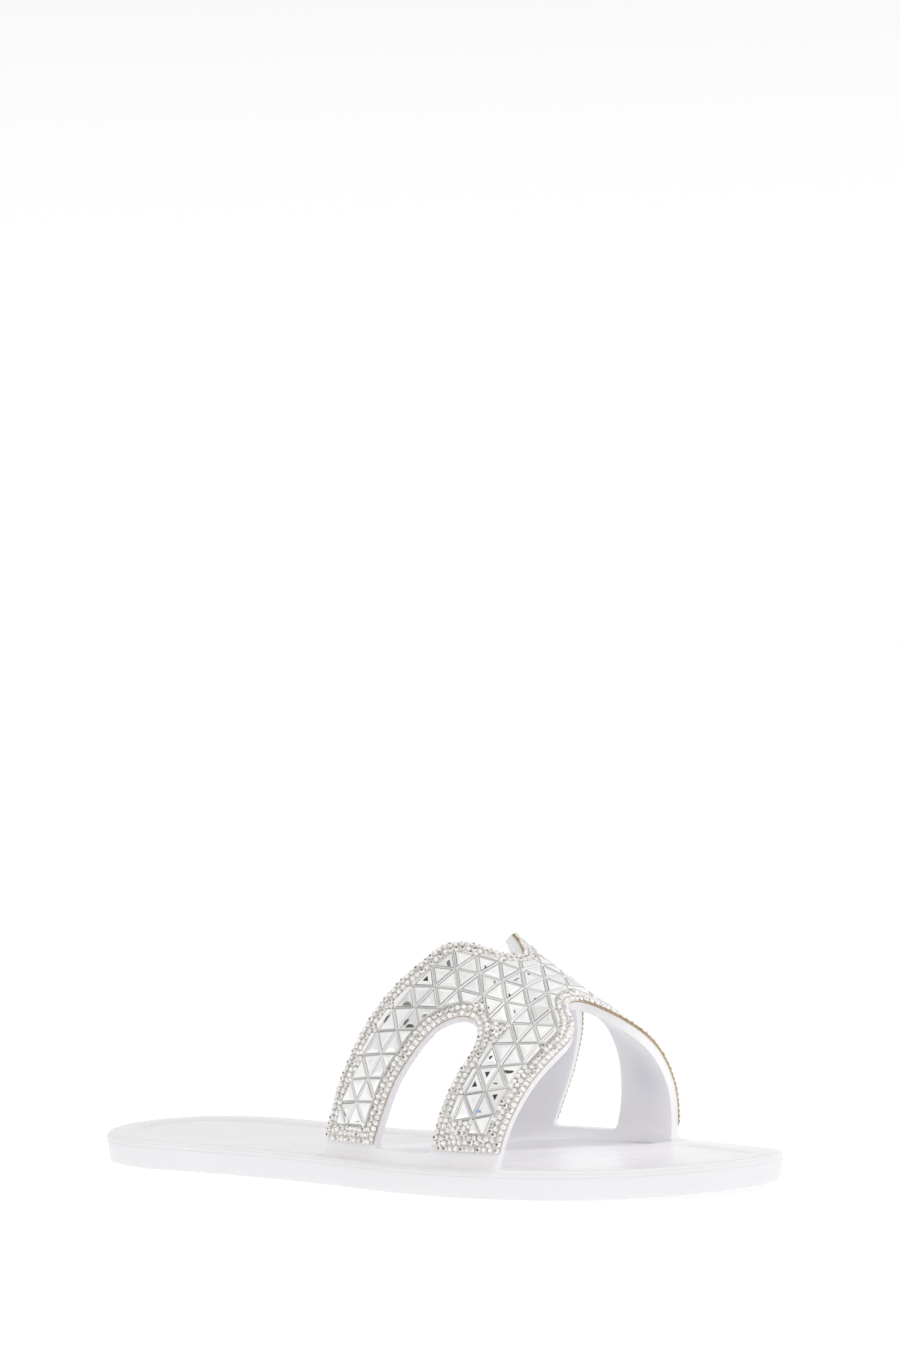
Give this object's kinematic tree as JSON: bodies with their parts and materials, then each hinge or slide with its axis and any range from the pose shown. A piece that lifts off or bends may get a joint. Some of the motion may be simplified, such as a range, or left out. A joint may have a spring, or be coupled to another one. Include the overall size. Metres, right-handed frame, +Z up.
{
  "type": "jelly slipper",
  "caption": "Flat slip-on jelly slipper for the right foot: a milky PVC sole with an H-cut strap that is covered in faceted triangular stones and edged in small rhinestones.",
  "frame": {"origin": "on the floor, under the middle of the bounding box", "axes": "+X from heel to toe, +Y to the inner (big toe) side, +Z up"},
  "size_m": [0.252, 0.0886, 0.0744],
  "materials": {
    "milky_pvc": "glossy soft PVC",
    "carrier_sheet": "matt cut edge",
    "rhinestone": "foil-backed, polished",
    "faceted_resin": "foil-backed, polished"
  },
  "bodies": {
    "root": {"sole": "milky_pvc", "upper": "milky_pvc", "backing_sheet": "carrier_sheet", "stone_border": "rhinestone", "triangle_stones": "faceted_resin"}
  },
  "joints": []
}
